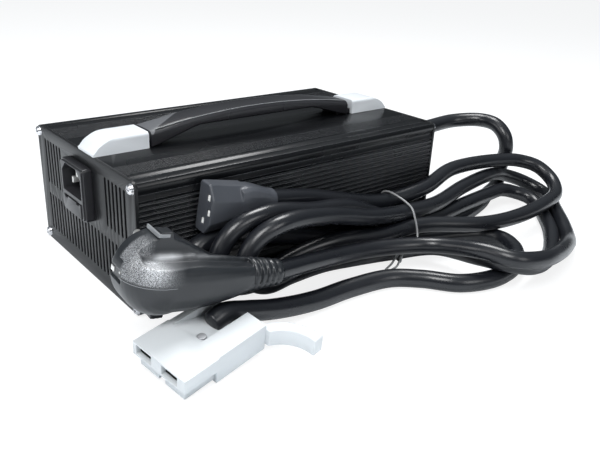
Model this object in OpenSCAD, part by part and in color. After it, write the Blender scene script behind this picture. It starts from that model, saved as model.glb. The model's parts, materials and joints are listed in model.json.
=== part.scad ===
// Lithium battery charger in a ribbed extruded case, with a strap handle,
// a removable mains lead and a fixed output lead ending in a two-pole battery connector.
// The origin is the centre of the underside. The inlet end is -X, the output end is +X.

/* [Case] */
// Length over the two end plates
case_l = 235; // [200:1:280]
// Width over the ribbed sides
case_w = 135; // [125:1:150]
// Height over the flat top
case_h = 79; // [79:1:84]
// Thickness of each end plate
plate_t = 2; // [1.5:0.5:3]
// Wall of the extruded shells
wall = 2.2; // [1.8:0.1:2.6]
// Height at which the two shells meet
split_z = 26; // [25:1:28]
// Depth of the long channel along each side
channel_d = 3; // [2:0.5:4]

/* [Ribs and slots] */
// Distance between the ribs on the sides
rib_pitch = 3; // [2.8:0.1:3]
// Depth of the grooves between the side ribs
rib_d = 0.8; // [0.4:0.1:1]
// Distance between the fine ribs on the top
top_rib_pitch = 1.75; // [1.5:0.05:2]
// Distance between the slots in the end plates
slot_pitch = 4.63; // [4.4:0.01:4.7]
// Width of one slot
slot_w = 2.2; // [1.8:0.1:2.6]

/* [Handle] */
// Width of the strap
handle_w = 21; // [18:1:24]
// Offset of the handle from the middle of the case
handle_y = -7.5; // [-10:0.5:0]
// Rise of the strap in its middle
handle_rise = 17; // [14:0.5:20]

/* [Leads] */
// Diameter of the mains lead
mains_d = 10.8; // [9:0.1:10.8]
// Diameter of the output lead
dc_d = 11.6; // [10:0.1:11.6]

/* [Connector] */
// Length of the battery connector housing
conn_l = 54; // [50:1:56]
// Width of the battery connector housing
conn_w = 36.5; // [34:0.5:38]
// Thickness of the battery connector housing
conn_t = 16; // [15:0.5:17]

/* [Hidden] */
$fn = 32;
eps = 0.01;
half_l = case_l / 2;
half_w = case_w / 2;
shell_l = case_l - 2 * plate_t;
screw_y = half_w - 3.7;
screw_top_z = case_h - 4;
screw_low_z = 4.2;

// Fan and cable gland on the output end
fan_pos = [half_l - plate_t, 31, 40];
fan_size = 60;
fan_depth = 18;
gland_y = -12;
gland_z = 53;
gland_l = 28;
gland_bore = dc_d / 2 + 0.05;
gland_r = gland_bore + 1.75;

// Mains inlet on the input end
inlet_y = 1;
inlet_z = 55.2;
inlet_w = 31.2;
inlet_h = 32.5;
inlet_proud = 6.2;
drawer_z = 45;

// Circuit board inside the case
board_z = 9.2;
board_t = 1.6;
board_top = board_z + board_t;

// Battery connector as it lies on the floor
conn_pos = [-136.1, -144.8, -1.6];
conn_turn = [9, -6, 10];

// Mains plug and appliance connector as they lie
plug_pos = [-123.3, -96.5, 44.6];
plug_turn = [0, 10, -5];
plug_r = 20.3;
socket_pos = [-82, -77, 61];
socket_turn = [6, 5, 0];

// Route of the mains lead, from the appliance connector to the plug
mains_route = [
    [-37, -77, 57], [-7.5, -74.5, 51], [24, -73, 42], [61.5, -74.5, 33.5], [98, -79, 37],
    [143, -68, 40], [205, -67, 36], [228, -72, 33], [239, -83, 29], [239, -97, 22],
    [227, -109, 17], [202, -116.5, 16.5], [160, -120, 16], [119.5, -116.5, 18],
    [75, -99.5, 21.5], [40, -94, 21], [6, -88, 23], [-27, -83, 17.5], [-54, -87.5, 12],
    [-74, -89, 18], [-82, -89.5, 34], [-73, -90.5, 50], [-51.5, -92, 56], [-16.5, -89, 49],
    [19.5, -84.5, 42], [60.5, -83.5, 24.5], [98, -85.5, 16], [141.5, -84, 17],
    [179.5, -79.5, 16], [199, -78, 15], [211, -82, 12], [218, -92, 9], [216, -103, 6],
    [204, -114.5, 5.5], [177, -137.5, 6], [145, -157, 5.5], [120.5, -166, 8],
    [98, -169, 13], [82.5, -163, 17], [78, -146, 15.5], [72, -115, 12], [50, -99, 8],
    [20, -94, 10], [-8, -93, 13], [-36, -96, 15], [-55, -99, 16], [-68, -100.5, 24],
    [-71, -100.5, 36], [-64, -101, 47], [-49, -103, 53.5], [-11.5, -99.5, 48.5],
    [28.5, -95.5, 37], [69.5, -91.5, 30], [106, -86.5, 26.5], [149.5, -76.5, 27.5],
    [199, -67, 25], [223, -65, 19], [239, -71, 13], [245, -85, 8], [238, -100, 6],
    [221.5, -114, 6], [197, -135.5, 6], [175, -152.5, 6], [150, -164.5, 12.5],
    [122.5, -173, 17], [96.5, -176.5, 21.5], [77.5, -171, 24.5], [70.5, -153, 25],
    [60, -121, 19], [25, -106, 20], [-20, -109, 27], [-60, -114.5, 33]
];

// Route of the output lead, from inside the gland to the battery connector
dc_route = [
    [110, -12, 53], [146, -12, 53], [182, -11, 54], [210, -14, 56], [226, -29, 58],
    [228, -44, 57], [228, -54, 50], [229, -57, 40], [232, -54, 29], [231, -53, 17],
    [222, -58, 9], [203, -63, 6], [175.5, -74.5, 6], [140.5, -81.5, 6], [92.5, -77, 6],
    [51.5, -73.5, 7], [1.5, -74, 6], [-50, -75, 6], [-72, -75, 6.5], [-87, -75, 11],
    [-93, -75, 25], [-87, -75, 37], [-72, -75, 41], [-52, -75, 38.5], [-13, -73.5, 26],
    [19, -79, 17], [44, -85, 12.5], [66, -89, 7], [90, -95, 6], [113, -103, 6],
    [128.5, -111.5, 6], [134, -125, 6], [128, -139, 6], [113, -151, 6],
    [95.5, -157.5, 6], [76, -158, 6], [55, -150, 6], [40, -133, 6], [24, -121, 6],
    [-5, -116, 6], [-30, -116, 6.5], [-48, -116, 8.5], [-66, -116, 12], [-82, -116, 16.5],
    [-96, -116.5, 20], [-103, -117, 18]
];

// Route of the wire twisted round the bundle of leads
tie_route = [
    [41, -107, 0.8], [45, -108, 3], [49, -107.4, 9.5], [53, -107.6, 13], [57, -107.6, 14],
    [61, -108.6, 16], [64, -105.6, 22], [65, -101.5, 30], [66, -97, 35.2], [66, -91.8, 37.4],
    [66, -84, 39.2], [66, -76, 39.9], [66, -70.6, 38], [66, -68.8, 33.4], [66, -68.4, 20],
    [65, -68.5, 7.5], [64, -69.6, 2.4], [63, -74.5, 0.8], [60, -88, 0.8], [56, -98, 0.8],
    [52.5, -104, 2.2], [50.5, -106, 6], [51, -106.2, 10], [47, -105.4, 9], [43, -105, 4],
    [38, -104.6, 0.8]
];

// Points of a circular arc in a plane
function arc(c, r, a0, a1, n) =
    [for (i = [0:n]) let (a = a0 + (a1 - a0) * i / n) [c.x + r * cos(a), c.y + r * sin(a)]];

// Mirrors a half outline about the vertical axis and closes it
function both_sides(half) =
    concat(half, [for (i = [len(half) - 1:-1:0]) [-half[i].x, half[i].y]]);

function unit(v) = v / norm(v);

// Direction of a route at one of its points
function heading(p, i) =
    unit(p[min(i + 1, len(p) - 1)] - p[max(i - 1, 0)]);

// Side direction carried from ring to ring, so that the tube doesn't twist
function side_dirs(p, i = 0, s = [0, 0, 1], out = []) =
    i == len(p) ? out :
    let (t = heading(p, i), f = abs(s * t) > 0.95 ? [0, 1, 0] : s, n = unit(f - (f * t) * t))
    side_dirs(p, i + 1, n, concat(out, [n]));

// Tube of one radius along a route, closed at its ends or joined into a loop
module tube(p, r, sides) {
    dirs = side_dirs(p);
    n = len(p);
    pts = [for (i = [0:n - 1]) let (t = heading(p, i), u = dirs[i], v = cross(t, u))
        for (k = [0:sides - 1]) let (a = 360 * k / sides) p[i] + r * (cos(a) * u + sin(a) * v)];
    walls = [for (i = [0:n - 2], k = [0:sides - 1]) let (m = (k + 1) % sides)
        [i * sides + m, i * sides + k, (i + 1) * sides + k, (i + 1) * sides + m]];
    start = [for (k = [0:sides - 1]) k];
    finish = [for (k = [sides - 1:-1:0]) (n - 1) * sides + k];
    polyhedron(points = pts, faces = concat(walls, [start], [finish]), convexity = 10);
}

// Solid skinned through a list of closed sections with equal point counts
module skin(sections) {
    n = len(sections);
    m = len(sections[0]);
    pts = [for (s = sections) each s];
    walls = [for (i = [0:n - 2], k = [0:m - 1]) let (j = (k + 1) % m)
        [i * m + j, i * m + k, (i + 1) * m + k, (i + 1) * m + j]];
    start = [for (k = [0:m - 1]) k];
    finish = [for (k = [m - 1:-1:0]) (n - 1) * m + k];
    polyhedron(points = pts, faces = concat(walls, [start], [finish]), convexity = 6);
}

// Extrudes an outline drawn in Y and Z along X
module along_x(x0, x1) {
    translate([x0, 0, 0])
        rotate([90, 0, 90])
            linear_extrude(x1 - x0)
                children();
}

// Extrudes an outline drawn in X and Z along Y
module along_y(y0, y1) {
    translate([0, y1, 0])
        rotate([90, 0, 0])
            linear_extrude(y1 - y0)
                children();
}

module rounded_rect(w, h, r) {
    x = w / 2 - r;
    y = h / 2 - r;
    polygon(concat(
        arc([x, y], r, 0, 90, 6), arc([-x, y], r, 90, 180, 6),
        arc([-x, -y], r, 180, 270, 6), arc([x, -y], r, 270, 360, 6)));
}

// Cylinder along X
module rod_x(x0, x1, r, y = 0, z = 0) {
    translate([x0, y, z])
        rotate([0, 90, 0])
            cylinder(h = x1 - x0, r = r);
}

// Pan head screw along +X with its head's underside at the origin
module pan_screw(head_r, head_h, shank_r, shank_l) {
    rotate([0, 90, 0])
        rotate_extrude()
            polygon(concat(
                [[0, shank_l], [shank_r, shank_l], [shank_r, 0], [head_r, 0]],
                arc([head_r - head_h, -head_h * 0.1], head_h * 0.9, 0, -90, 5),
                [[0, -head_h]]));
}

// Outline of the side from the flat top down to the joint between the shells
corner = [
    [14, 0], [12, 0], [11, -0.4], [9.5, -1.1], [8, -0.8], [7.5, -0.4], [5, 0],
    [1.5, -0.8], [0.2, -2.5], [0, -4], [0.4, -6], [0.9, -7.5], [0.4, -9.5],
    [0, -10.6], [0.6, -11.6]
];
rib_n = 10;
rib_top = case_h - 12.4;
rib_side = [for (i = [0:rib_n - 1]) let (z = rib_top - i * rib_pitch)
    each [[rib_d, z], [0.1, z - 0.6], [0.1, z - 1.9], [rib_d, z - 2.4]]];
channel_top = 35.2;
channel_low = 19.5;
function from_edge(p, z0 = 0) = [for (q = p) [half_w - q.x, z0 + q.y]];
upper_half = concat(
    from_edge(corner, case_h), from_edge(rib_side),
    from_edge([[0, channel_top], [channel_d, channel_top - 3], [channel_d, split_z]]));
lower_half = concat(
    from_edge([[channel_d, split_z], [channel_d, 23.1], [0, channel_low]]),
    arc([half_w - 5, 5], 5, 0, -90, 8));
upper_hollow = from_edge([
    [15, case_h - 2.6], [3.4, case_h - 3.4], [2.9, case_h - 6], [2.9, channel_top],
    [channel_d + wall, channel_top - 3], [channel_d + wall, split_z - 1]]);
lower_hollow = concat(
    from_edge([[channel_d + wall, split_z + 1], [channel_d + wall, 22], [wall, channel_low - 1]]),
    arc([half_w - 5.2, 5.2], 3, 0, -90, 6));

// Fine ribs on the top, in a strip from y0 to y1
module top_grooves(y0, y1) {
    n = floor((y1 - y0) / top_rib_pitch);
    for (i = [0:n - 1])
        translate([y0 + (i + 0.5) * top_rib_pitch, case_h])
            polygon([[-0.5, 0.1], [0.5, 0.1], [0.25, -0.5], [-0.25, -0.5]]);
}

// Round screw ports in the two corners at one height
module screw_ports(z, r) {
    for (s = [-1, 1])
        translate([s * screw_y, z])
            circle(r = r);
}

module top_shell() {
    color("#1b1c1f")
    difference() {
        along_x(-shell_l / 2, shell_l / 2)
            difference() {
                polygon(both_sides(upper_half));
                difference() {
                    polygon(both_sides(upper_hollow));
                    screw_ports(screw_top_z, 3.2);
                }
                screw_ports(screw_top_z, 1.6);
                top_grooves(-53, -39);
                top_grooves(24, 49.5);
            }
        for (x = [-100, 100])
            translate([x, handle_y, case_h - 10])
                cylinder(h = 20, r = 2.1);
    }
}

module bottom_shell() {
    color("#1b1c1f")
    difference() {
        union() {
            along_x(-shell_l / 2, shell_l / 2)
                difference() {
                    polygon(both_sides(lower_half));
                    difference() {
                        polygon(both_sides(lower_hollow));
                        screw_ports(screw_low_z, 3.2);
                    }
                    screw_ports(screw_low_z, 1.6);
                }
            for (p = board_points)
                translate([p.x, p.y, wall - 0.2])
                    cylinder(h = board_z - wall + 0.2, r = 3.5);
        }
        for (p = board_points)
            translate([p.x, p.y, board_z - 6])
                cylinder(h = 7, r = 1.35);
    }
}

board_points = [for (x = [-92, 0, 82], y = [-48, 48]) [x, y]];

// Upright slot with round ends
module slot(y, z0, z1) {
    translate([y, z0 + slot_w / 2])
        circle(d = slot_w);
    translate([y, z1 - slot_w / 2])
        circle(d = slot_w);
    translate([y - slot_w / 2, z0 + slot_w / 2])
        square([slot_w, z1 - z0 - slot_w]);
}

module plate_outline() {
    polygon(concat(
        arc([half_w - 5, case_h - 5], 5, 0, 90, 8), arc([-half_w + 5, case_h - 5], 5, 90, 180, 8),
        arc([-half_w + 5, 5], 5, 180, 270, 8), arc([half_w - 5, 5], 5, 270, 360, 8)));
}

module plate_holes() {
    screw_ports(screw_low_z, 1.7);
    screw_ports(screw_top_z, 1.7);
}

module inlet_plate() {
    color("#1e1f22")
    along_x(-half_l, -half_l + plate_t)
        difference() {
            plate_outline();
            plate_holes();
            for (s = [-1, 1], i = [0:5])
                slot(s * (32 + i * slot_pitch), 42.4, 71.9);
            for (i = [-12:12])
                slot(i * slot_pitch, 9.7, 35.2);
            translate([inlet_y, inlet_z])
                square([29, 30.4], center = true);
        }
}

module output_plate() {
    color("#1e1f22")
    along_x(half_l - plate_t, half_l)
        difference() {
            plate_outline();
            plate_holes();
            for (i = [1:11])
                slot(-3 - i * slot_pitch, 9.7, 35.2);
            translate([gland_y, gland_z])
                circle(r = gland_r + 0.2);
            translate([-36, 60])
                circle(r = 2.6);
            translate([fan_pos.y, fan_pos.z])
                fan_grille();
            for (p = fan_corners)
                translate(p)
                    circle(r = 1.9);
        }
}

fan_corners = [for (a = [-25, 25], b = [-25, 25]) [fan_pos.y + a, fan_pos.z + b]];

// Rings of openings in front of the fan, held by four bars
module fan_grille() {
    difference() {
        for (r = [8, 13, 18, 23])
            difference() {
                circle(r = r + 3.4, $fn = 48);
                circle(r = r, $fn = 48);
            }
        for (a = [45, 135])
            rotate(a)
                square([60, 3], center = true);
    }
}

module plate_screws() {
    color("#d8d9dc")
    for (s = [-1, 1], z = [screw_low_z, screw_top_z], e = [0, 1])
        translate([0, s * screw_y, z])
            rotate([0, 0, e * 180])
                translate([-half_l, 0, 0])
                    difference() {
                        pan_screw(3.3, 2.2, 1.5, 11);
                        for (a = [0, 90])
                            rotate([a, 0, 0])
                                translate([-2.4, -0.4, -1.9])
                                    cube([1.2, 0.8, 3.8]);
                    }
}

// Opening of the inlet: wide, with its two upper corners cut off
module inlet_mouth() {
    w = 13;
    polygon([[-w, -8.7], [w, -8.7], [w, 3.5], [w - 5.5, 8.8], [-w + 5.5, 8.8], [-w, 3.5]]);
}

module inlet_housing() {
    front = -half_l - inlet_proud;
    color("#202124")
    difference() {
        union() {
            along_x(front + 1.2, -half_l)
                translate([inlet_y, inlet_z])
                    rounded_rect(inlet_w, inlet_h, 2);
            along_x(front, front + 1.2)
                translate([inlet_y, inlet_z])
                    rounded_rect(inlet_w - 2, inlet_h - 2, 1.5);
            along_x(-half_l, -half_l + 24)
                translate([inlet_y, inlet_z])
                    square([28.6, 30], center = true);
        }
        along_x(front - 1, front + 17.5)
            translate([inlet_y, 61.1])
                inlet_mouth();
        along_x(front - 1, front + 29)
            translate([inlet_y, drawer_z])
                square([25, 9.4], center = true);
        along_x(front + 17, front + 31)
            for (p = inlet_pin_places)
                translate(p)
                    square([2.1, 4.1], center = true);
    }
}

inlet_pin_places = [for (p = [[-7, -2], [0, 3.5], [7, -2]]) [inlet_y + p.x, 61.1 + p.y]];

module inlet_pins() {
    color("#c9cacd")
    for (p = inlet_pin_places)
        translate([-half_l - inlet_proud + 3.5, p.x - 1, p.y - 2])
            cube([34, 2, 4]);
}

module fuse_drawer() {
    front = -half_l - inlet_proud;
    color("#202124")
    difference() {
        union() {
            along_x(front - 0.6, front + 1)
                translate([inlet_y, drawer_z])
                    rounded_rect(24.4, 8.8, 1);
            along_x(front + 1, front + 27)
                translate([inlet_y, drawer_z])
                    square([24.4, 8.8], center = true);
        }
        along_x(front + 4, front + 25)
            translate([inlet_y, drawer_z + 1.4])
                square([6, 8], center = true);
        for (s = [-1, 1])
            along_x(front - 1, front + 1.2)
                translate([inlet_y + s * 8, drawer_z + 3.9])
                    square([4, 1.4], center = true);
    }
}

module fuse() {
    x0 = -half_l - inlet_proud + 4.4;
    z = drawer_z + 0.1;
    color("#c8c9c4") {
        rod_x(x0, x0 + 5, 2.6, inlet_y, z);
        rod_x(x0 + 5, x0 + 15, 2.3, inlet_y, z);
        rod_x(x0 + 15, x0 + 20, 2.6, inlet_y, z);
    }
}

// Side view of one handle cap, arched up from the end of the case
cap_arch = [
    [0.3, 0], [0.3, 1.4], [1.3, 2], [3.9, 4.9], [6.4, 6.5], [8.9, 7.8], [11.7, 9],
    [14.5, 9.6], [18, 9.9], [35.3, 9.9], [35.3, 0]
];

module handle_cap() {
    difference() {
        intersection() {
            along_y(handle_y - handle_w / 2, handle_y + handle_w / 2)
                translate([-half_l, case_h])
                    polygon(cap_arch);
            along_x(-half_l - 1, -half_l + 40)
                translate([handle_y, case_h + 3.9])
                    rounded_rect(handle_w, 12, 2.2);
        }
        translate([-half_l + 7, handle_y - 8, case_h - 1])
            cube([40, 16, 4.4]);
        translate([-100, handle_y, case_h])
            cylinder(h = 7.5, r = 2);
    }
}

module handle_cap_left() {
    color("#d9dbdc")
        handle_cap();
}

module handle_cap_right() {
    color("#d9dbdc")
        mirror([1, 0, 0])
            handle_cap();
}

// The strap is an arch: its top and underside follow these heights along it
grip_x0 = -80.5;
grip_x1 = 77.5;
grip_steps = 28;
function grip_top(u) = 9.9 + (handle_rise - 9.9) * sin(180 * u);
function grip_under(u) =
    let (d = min(u, 1 - u))
    d < 0.19 ? 9 * pow(d / 0.19, 1.15) : 9 + 2.3 * sin(90 * (d - 0.19) / 0.31);
function grip_section(u) =
    let (x = grip_x0 + (grip_x1 - grip_x0) * u, t = case_h + grip_top(u), b = case_h + grip_under(u),
         w = handle_w / 2, e = 2.2)
    [for (q = [[-w + 0.8, b], [w - 0.8, b], [w, b + 0.8], [w, t - e], [w - e * 0.8, t - 0.4],
               [w - e * 2, t], [-w + e * 2, t], [-w + e * 0.8, t - 0.4], [-w, t - e], [-w, b + 0.8]])
        [x, handle_y + q.x, q.y]];

module handle_grip() {
    color("#17181a")
    difference() {
        union() {
            skin([for (i = [0:grip_steps]) grip_section(i / grip_steps)]);
            translate([-half_l + 8, handle_y - 7.6, case_h])
                cube([grip_x0 + half_l, 15.2, 3]);
            translate([grip_x1 - 8, handle_y - 7.6, case_h])
                cube([half_l - grip_x1, 15.2, 3]);
        }
        for (x = [-100, 100])
            translate([x, handle_y, case_h - 1])
                cylinder(h = 6, r = 2.1);
    }
}

module handle_screws() {
    color("#b9babd")
    for (x = [-100, 100])
        translate([x, handle_y, case_h - 2.6])
            rotate([0, -90, 0])
                pan_screw(3.6, 2.4, 1.9, 9.5);
}

module cable_gland() {
    color("#1a1b1d")
    translate([half_l, gland_y, gland_z])
        rotate([0, 90, 0])
            rotate_extrude()
                polygon(concat(
                    [[gland_bore, -12], [gland_r, -12], [gland_r, 0], [gland_r + 2.9, 0],
                     [gland_r + 2.9, 3], [gland_r + 1.5, 4]],
                    [for (i = [0:4]) let (z = 6 + i * 4, r = gland_r + 1.4 - i * 0.4) each
                        [[r, z], [r, z + 2.2], [r - 1.1, z + 2.6], [r - 1.1, z + 3.6]]],
                    [[gland_bore + 0.9, gland_l], [gland_bore, gland_l]]));
}

module gland_nut() {
    color("#1a1b1d")
    translate([half_l - plate_t - 4, gland_y, gland_z])
        rotate([0, 90, 0])
            difference() {
                cylinder(h = 4, r = gland_r + 2.9, $fn = 6);
                translate([0, 0, -1])
                    cylinder(h = 6, r = gland_r + 0.05);
            }
}

module status_led() {
    color("#cfe8d0")
    translate([half_l, -36, 60])
        rotate([0, 90, 0])
            rotate_extrude()
                polygon(concat(
                    [[0, -8], [2.9, -8], [2.9, -plate_t], [2.5, -plate_t]],
                    arc([0, 0.2], 2.5, 0, 90, 8)));
}

module fan_frame() {
    back = fan_pos.x - fan_depth;
    color("#232427")
    translate([0, fan_pos.y, fan_pos.z]) {
        difference() {
            along_x(back, fan_pos.x)
                difference() {
                    rounded_rect(fan_size, fan_size, 3);
                    circle(r = 28.5, $fn = 64);
                    for (a = [-25, 25], b = [-25, 25])
                        translate([a, b])
                            circle(r = 2);
                }
        }
        along_x(back, back + 2.5)
            union() {
                circle(r = 14);
                for (a = [30, 150, 270])
                    rotate(a)
                        translate([0, -2])
                            square([29.5, 4]);
            }
        rod_x(back + 2, back + 13, 1.5);
    }
}

// Seven pitched blades round a hub that turns on the frame's axle
module fan_rotor() {
    back = fan_pos.x - fan_depth;
    color("#2b2c30")
    translate([0, fan_pos.y, fan_pos.z])
        difference() {
            union() {
                rod_x(back + 3.5, back + 16, 13);
                intersection() {
                    for (i = [0:6])
                        rotate([i * 360 / 7, 0, 0])
                            translate([back + 9.5, 0, 19])
                                rotate([0, 0, 38])
                                    cube([18, 1.4, 18], center = true);
                    rod_x(back + 4, back + 15.5, 27.5);
                }
            }
            rod_x(back + 3, back + 14, 1.55);
        }
}

module fan_screws() {
    color("#3a3b3e")
    for (p = fan_corners)
        translate([half_l, p.x, p.y])
            rotate([0, 0, 180])
                pan_screw(3.2, 1.8, 1.7, 20);
}

module circuit_board() {
    color("#1f6b3a")
    difference() {
        translate([-105, -56, board_z])
            cube([200, 112, board_t]);
        for (p = board_points)
            translate([p.x, p.y, board_z - 1])
                cylinder(h = board_t + 2, r = 1.7);
    }
}

module board_screws() {
    color("#c4c5c8")
    for (p = board_points)
        translate([p.x, p.y, board_top])
            rotate([0, 90, 0])
                pan_screw(2.8, 1.8, 1.25, 6);
}

module transformer_core() {
    color("#3b3a3a")
    translate([10, 0, board_top])
        difference() {
            translate([-22, -19, 3])
                cube([44, 38, 36]);
            for (s = [-1, 1])
                translate([s * 13.5 - 5, -20, 8])
                    cube([10, 40, 26]);
        }
}

module transformer_winding() {
    color("#b9a038")
    translate([10, 0, board_top]) {
        difference() {
            translate([-18.3, -25, 8.2])
                cube([36.6, 50, 25.6]);
            translate([-8.6, -26, 7])
                cube([17.2, 52, 28]);
        }
        for (s = [-1, 1])
            translate([-18.3, s * 22 - 3, 0])
                cube([36.6, 6, 8.4]);
    }
}

module bulk_capacitors() {
    color("#26303f")
    for (y = [-16, 16])
        translate([-42, y, board_top])
            rotate_extrude()
                polygon([[0, 0], [14, 0], [14, 2], [13.4, 2.8], [14, 3.6], [14, 39], [13, 40],
                         [10, 40], [10, 39.5], [0, 39.5]]);
}

// Comb section along each long side of the board
module heat_sinks() {
    color("#a9abae")
    for (s = [-1, 1])
        along_x(-70, 60)
            union() {
                translate([s * 41.5 - 1.5, board_top])
                    square([3, 45]);
                for (i = [0:5])
                    translate([s * 46 - 4, board_top + 4 + i * 7])
                        square([8, 2]);
            }
}

module power_transistors() {
    color("#1c1c1e")
    for (s = [-1, 1], x = [-54, -30, 30, 50])
        translate([x - 5, s * 37.75 - 2.25, board_top + 3])
            cube([10, 4.5, 15]);
}

module filter_choke() {
    color("#8c4a20")
    translate([-86, 24, board_top + 16])
        rotate([90, 0, 0])
            rotate_extrude()
                translate([10.5, 0])
                    circle(r = 5.5);
}

module output_inductor() {
    color("#9a5526")
    translate([60, -6, board_top + 17])
        rotate([90, 0, 0])
            rotate_extrude()
                translate([11, 0])
                    circle(r = 6);
}

module mains_lead() {
    color("#15161a")
        tube(mains_route, mains_d / 2, 8);
}

module dc_lead() {
    color("#15161a")
        tube(dc_route, dc_d / 2, 8);
}

// Appliance connector: a tapering block with two cut corners, a shoulder, a dome and a neck
module c13_connector() {
    color("#191a1d")
    translate(socket_pos)
        rotate(socket_turn)
            difference() {
                union() {
                    skin([for (q = [[0, 28.4, 13.2], [1, 29, 13.8], [24.5, 22.6, 14.4]])
                        [for (p = c13_outline(q[1], q[2])) [q[0], p.x, p.y]]]);
                    skin([for (q = socket_neck)
                        [for (a = [0:15:345]) let (p = oval(a, q[1], q[2], q[3])) [q[0], p.x, p.y]]]);
                }
                for (p = [[-2.8, 7.2], [0.6, -7.4], [-4.2, -1.2]])
                    translate([-1, p.x - 1.2, p.y - 2.1])
                        cube([13, 2.4, 4.2]);
            }
}

// Neck sections: place along the body, height, thickness and squareness
socket_neck = [
    [20, 22, 14.6, 4], [24, 23, 15.6, 4], [27, 22.6, 15.6, 4], [32, 20.4, 15, 3.4],
    [37, 17.2, 14, 2.8], [41.5, 14.2, 13, 2.2], [46, 12.6, 12.6, 2]
];

// Face of the appliance connector: the side with the earth opening has its corners cut
function c13_outline(h, t) =
    [[-t / 2, -h / 2 + 7.5], [-t / 2 + 5, -h / 2], [t / 2 - 1, -h / 2], [t / 2, -h / 2 + 1],
     [t / 2, h / 2 - 1], [t / 2 - 1, h / 2], [-t / 2 + 5, h / 2], [-t / 2, h / 2 - 7.5]];

// Rounded rectangle outline by angle: h tall, t thick, and squarer as n rises
function oval(a, h, t, n = 4) =
    let (c = cos(a), s = sin(a), k = pow(pow(abs(c), n) + pow(abs(s), n), -1 / n))
    [t / 2 * c * k, h / 2 * s * k];

module at_plug() {
    translate(plug_pos)
        rotate(plug_turn)
            children();
}

// Half section of the plug's round body, from its flat face to its domed back
plug_dome = [
    [0, 7], [18.6, 7], [19.7, 6.5], [plug_r, 5.2], [plug_r, -6], [20.1, -8], [19.4, -11],
    [18, -14], [15.9, -17], [12.8, -19.7], [8.8, -21.6], [4.4, -22.7], [0, -23]
];

// Neck sections: place along the neck, then centre (side, height), height, thickness, squareness
plug_neck = [
    [0, -11.5, -2.3, 27, 23, 3], [12, -11.6, -2.5, 26.4, 23, 3], [24, -11.8, -2, 24.6, 22, 2.8],
    [34, -12, -1.5, 22, 20.4, 2.6], [42, -12.2, -1, 19.4, 18.4, 2.4], [46, -12.3, -0.6, 18, 17.2, 2.2],
    [47.5, -12.3, -0.5, 15.4, 15, 2], [66, -12.3, 0, 12.6, 12.6, 2]
];

// Web between the round body and the neck, seen from the back
plug_web = [
    [-8, -17], [12, -17], [30, -13], [44, -9], [44, 1], [33, 5.5], [9.5, 17.8], [0, 19]
];

// Mains plug: its face looks along +Y and its neck along +X, before it is turned
module mains_plug() {
    color("#191a1d")
    at_plug()
        difference() {
            union() {
                rotate([-90, 0, 0])
                    rotate_extrude($fn = 48)
                        polygon(plug_dome);
                along_y(-9, 2)
                    polygon(plug_web);
                skin([for (q = plug_neck) [for (a = [0:18:342]) let (p = oval(a, q[3], q[4], q[5]))
                    [q[0], q[1] + p.x, q[2] + p.y]]]);
                for (s = [-1, 1])
                    translate([-3, -9, s * 20 - 2.6])
                        cube([6.6, 8, 5.2]);
                for (i = [0:4])
                    translate([47.4 + i * 3.8, -12.3, -0.6])
                        rotate([0, 90, 0])
                            cylinder(h = 2, r = 9 - i * 0.45);
            }
            along_y(-30, -12)
                polygon([[-40, 30], [-16, 30], [-14.5, 12.5], [-12.5, 10], [-9, 9], [16, 9], [46, 6], [46, 30]]);
            along_y(-30, -9)
                polygon([[-40, 32], [-16, 30], [-14.8, 13.5], [-12, 12], [24, 11.4], [46, 9], [46, 32]]);
            for (s = [-1, 1])
                translate([0, -3, s * 9.5])
                    rotate([-90, 0, 0])
                        cylinder(h = 12, r = 2.4);
            translate([-22, -7, -3])
                cube([3.2, 15, 6]);
            translate([18.2, 2.2, -3])
                cube([4, 6, 6]);
        }
}

module plug_pins() {
    color("#cfd0d2")
    at_plug()
        for (s = [-1, 1])
            translate([0, -3, s * 9.5])
                rotate([-90, 0, 0])
                    cylinder(h = 28, r = 2.35);
}

// Two earth strips let into the rim, at the far end and beside the neck
module earth_clips() {
    color("#b8babd")
    at_plug() {
        translate([-19.6, -4, -2.4])
            cube([0.8, 11.4, 4.8]);
        translate([18.2, 2.2, -2.4])
            cube([0.8, 5.2, 4.8]);
    }
}

module on_floor() {
    translate(conn_pos)
        rotate(conn_turn)
            children();
}

// Two-pole housing: a hood over the mouths, two jaws set back under it, and a sloping recess
// in which the lead lies
module battery_connector() {
    step = 20.5;
    color("#e3e6e8")
    on_floor()
        difference() {
            union() {
                translate([0, 0, 8])
                    cube([step + 1, conn_w, conn_t - 8]);
                for (y = jaw_places)
                    translate([2.4, y, 1])
                        cube([step, 13.6, 8]);
                translate([step, 0.6, 0])
                    cube([conn_l - step, conn_w - 1.2, conn_t]);
            }
            for (y = mouth_places)
                translate([-1, y, 9])
                    cube([step + 2, mouth_w, 6]);
            for (y = mouth_places)
                translate([step, y + 1.4, 9.3])
                    cube([12, mouth_w - 2.8, 2.4]);
            translate([step, 13.8, conn_t])
                rotate([0, 17, 0])
                    cube([60, 18.6, 20]);
            translate([26.5, 17.6, -1])
                cylinder(h = 30, r = 1.55);
            translate([26.5, 17.6, 13.6])
                cylinder(h = 9, r = 2.6);
        }
}

mouth_places = [5.2, 23.4];
mouth_w = 10.8;
jaw_places = [2.6, 20.6];

module connector_contacts() {
    color("#c6c8ca")
    on_floor()
        for (y = mouth_places)
            translate([7.5, y + 1.5, 9.4])
                cube([24.9, mouth_w - 3, 2.2]);
}

module connector_screw() {
    color("#b9bbbe")
    on_floor()
        translate([26.5, 17.6, 0.5]) {
            cylinder(h = 13.2, r = 1.5);
            translate([0, 0, 13.15])
                cylinder(h = 1.3, r = 2.3);
        }
}

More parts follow.
